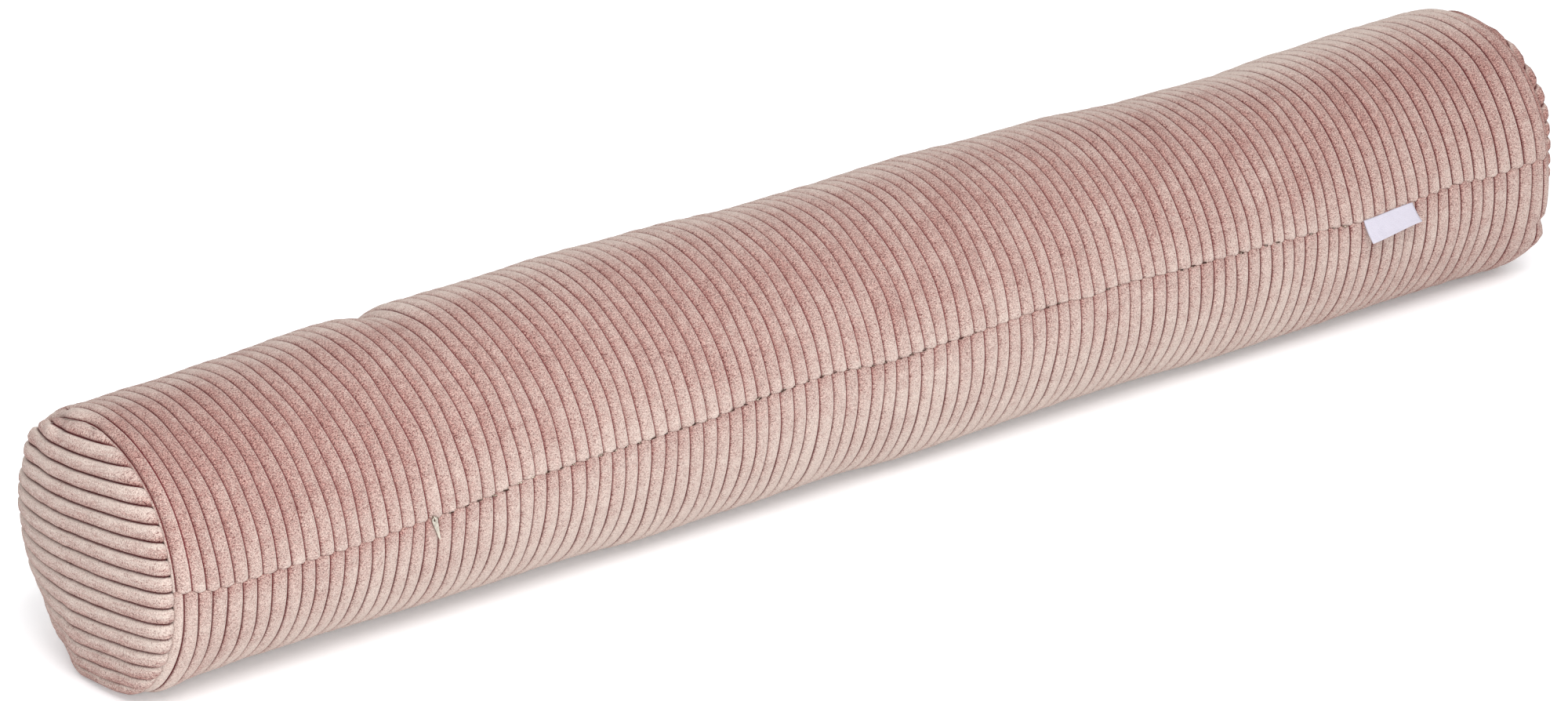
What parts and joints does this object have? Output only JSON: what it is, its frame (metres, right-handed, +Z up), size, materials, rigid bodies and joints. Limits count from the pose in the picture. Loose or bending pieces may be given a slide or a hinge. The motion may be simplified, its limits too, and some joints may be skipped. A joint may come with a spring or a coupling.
{
  "type": "bolster cushion",
  "caption": "Long round bolster cushion in wide-wale corduroy, with domed round ends, a zipped closing seam along the front and a small blank sewn-in label.",
  "frame": {"origin": "on the surface that the cushion lies on, under the middle of its length", "axes": "+X along the cushion, with the zip's pull towards -X and the label towards +X; -Y to the front, where the closing seam runs; +Z up"},
  "size_m": [0.919, 0.1587, 0.1394],
  "materials": {
    "corduroy": "dusty pink cotton corduroy with wide flat velvety wales and narrow mauve grooves",
    "zip_tape": "dark woven zip tapes with coil teeth, seen only down in the seam",
    "zip_metal": "silver-beige satin metal",
    "label_tape": "smooth white woven satin tape, blank"
  },
  "bodies": {
    "root": {"bolster_body": "corduroy", "end_disc_left": "corduroy", "end_disc_right": "corduroy", "zip_chain": "zip_tape", "zip_pull": "zip_metal", "label": "label_tape"}
  },
  "joints": []
}
